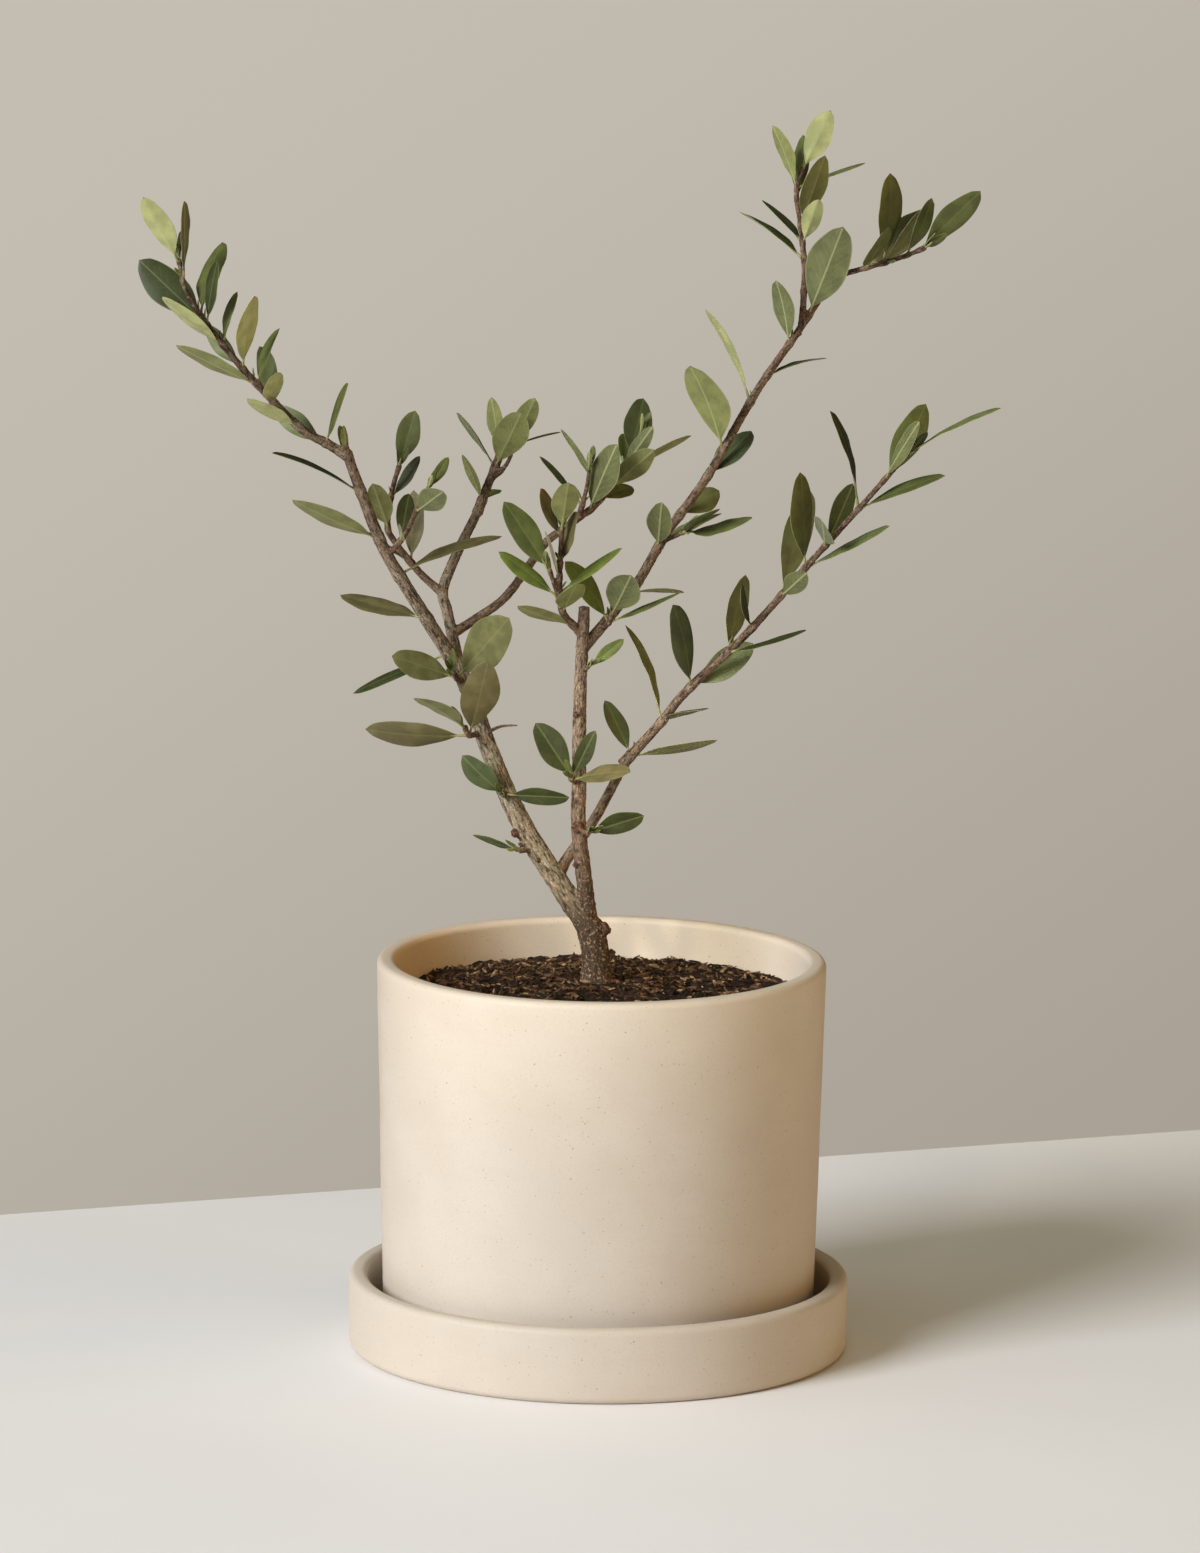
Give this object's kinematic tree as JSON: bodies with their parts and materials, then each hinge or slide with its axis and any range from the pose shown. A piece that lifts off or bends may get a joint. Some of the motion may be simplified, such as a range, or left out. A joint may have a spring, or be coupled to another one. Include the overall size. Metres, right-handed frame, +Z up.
{
  "type": "potted olive tree",
  "caption": "Young olive tree with open, forked stems and narrow leaves, in a round cream ceramic pot filled with soil, on its saucer.",
  "frame": {"origin": "middle of the saucer's flat underside", "axes": "+Z up along the pot's axis, -Y towards the front, +X to the right as seen from the front"},
  "size_m": [0.2431, 0.145, 0.3557],
  "materials": {
    "cream_ceramic": "matte",
    "potting_soil": "matte",
    "bark": "matte",
    "olive_leaf": "satin"
  },
  "bodies": {
    "root": {"saucer": "cream_ceramic", "pot": "cream_ceramic", "soil": "potting_soil", "trunk": "bark", "left_leader": "bark", "centre_stem": "bark", "right_bough": "bark", "upper_right_bough": "bark", "left_inner_bough": "bark", "rear_bough": "bark", "left_outer_spray": "olive_leaf", "left_tip_spray": "olive_leaf", "inner_side_spray": "olive_leaf", "inner_top_spray": "olive_leaf", "rear_spray": "olive_leaf", "centre_spray": "olive_leaf", "upper_right_spray": "olive_leaf", "right_spray": "olive_leaf", "bough_sprig": "olive_leaf", "low_left_sprig": "olive_leaf", "lowest_left_sprig": "olive_leaf", "centre_low_sprig": "olive_leaf", "knob_sprig": "olive_leaf", "fork_sprig": "olive_leaf", "leader_sprig": "olive_leaf", "stem_top_sprig": "olive_leaf"}
  },
  "joints": []
}
